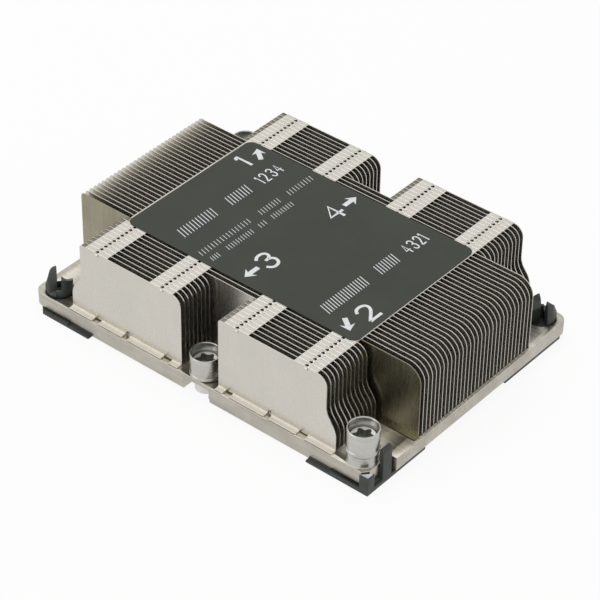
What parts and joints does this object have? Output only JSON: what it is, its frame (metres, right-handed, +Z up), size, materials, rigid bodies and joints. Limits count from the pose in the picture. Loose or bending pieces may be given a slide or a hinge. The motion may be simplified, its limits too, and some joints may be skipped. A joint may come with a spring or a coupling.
{
  "type": "passive server cpu heatsink",
  "caption": "Low passive processor heatsink: folded fins on a base plate, with captive star-socket nuts and a clip-on carrier.",
  "frame": {"origin": "centre of the plate in plan, at the carrier's underside", "axes": "+X along the plate's length and the fins, +Y across the fins to the back, +Z up to the fin tops"},
  "size_m": [0.108, 0.0794, 0.026],
  "materials": {
    "plate_metal": "satin nickel plating",
    "fin_metal": "satin nickel plating",
    "sleeve_metal": "turned, nickel plated",
    "nut_metal": "bright plating",
    "carrier_plastic": "moulded satin",
    "label_film": "satin film"
  },
  "bodies": {
    "heatsink": {"base_plate": "plate_metal", "nut_sleeves": "sleeve_metal", "carrier": "carrier_plastic", "label": "label_film", "fins_front_left": "fin_metal", "fins_front_right": "fin_metal", "fins_back_left": "fin_metal", "fins_back_right": "fin_metal", "fin_bridge_front_1": "fin_metal", "fin_bridge_front_2": "fin_metal", "fin_bridge_front_3": "fin_metal", "fin_bridge_back_1": "fin_metal", "fin_bridge_back_2": "fin_metal", "fin_bridge_back_3": "fin_metal", "fin_full_01": "fin_metal", "fin_full_02": "fin_metal", "fin_full_03": "fin_metal", "fin_full_04": "fin_metal", "fin_full_05": "fin_metal", "fin_full_06": "fin_metal", "fin_full_07": "fin_metal", "fin_full_08": "fin_metal", "fin_full_09": "fin_metal", "fin_full_10": "fin_metal", "fin_full_11": "fin_metal", "fin_full_12": "fin_metal", "fin_full_13": "fin_metal", "fin_full_14": "fin_metal", "fin_full_15": "fin_metal", "fin_full_16": "fin_metal", "fin_full_17": "fin_metal", "fin_full_18": "fin_metal", "fin_full_19": "fin_metal", "fin_full_20": "fin_metal", "fin_full_21": "fin_metal", "fin_full_22": "fin_metal", "fin_full_23": "fin_metal", "fin_full_24": "fin_metal", "fin_full_25": "fin_metal", "fin_full_26": "fin_metal", "fin_full_27": "fin_metal", "fin_full_28": "fin_metal", "fin_full_29": "fin_metal", "fin_full_30": "fin_metal", "fin_full_31": "fin_metal"},
    "nut_1": {"captive_nut_1": "nut_metal"},
    "nut_2": {"captive_nut_2": "nut_metal"},
    "nut_3": {"captive_nut_3": "nut_metal"},
    "nut_4": {"captive_nut_4": "nut_metal"}
  },
  "joints": [
    {"name": "nut_1_turn", "type": "hinge", "parent": "heatsink", "child": "nut_1", "pos_m": [-0.048, 0.0351, 0.00555], "axis": [0, 0, 1], "continuous": true},
    {"name": "nut_2_turn", "type": "hinge", "parent": "heatsink", "child": "nut_2", "pos_m": [0.048, -0.0351, 0.00555], "axis": [0, 0, 1], "continuous": true},
    {"name": "nut_3_turn", "type": "hinge", "parent": "heatsink", "child": "nut_3", "pos_m": [0, -0.0351, 0.00555], "axis": [0, 0, 1], "continuous": true},
    {"name": "nut_4_turn", "type": "hinge", "parent": "heatsink", "child": "nut_4", "pos_m": [0, 0.0351, 0.00555], "axis": [0, 0, 1], "continuous": true}
  ]
}
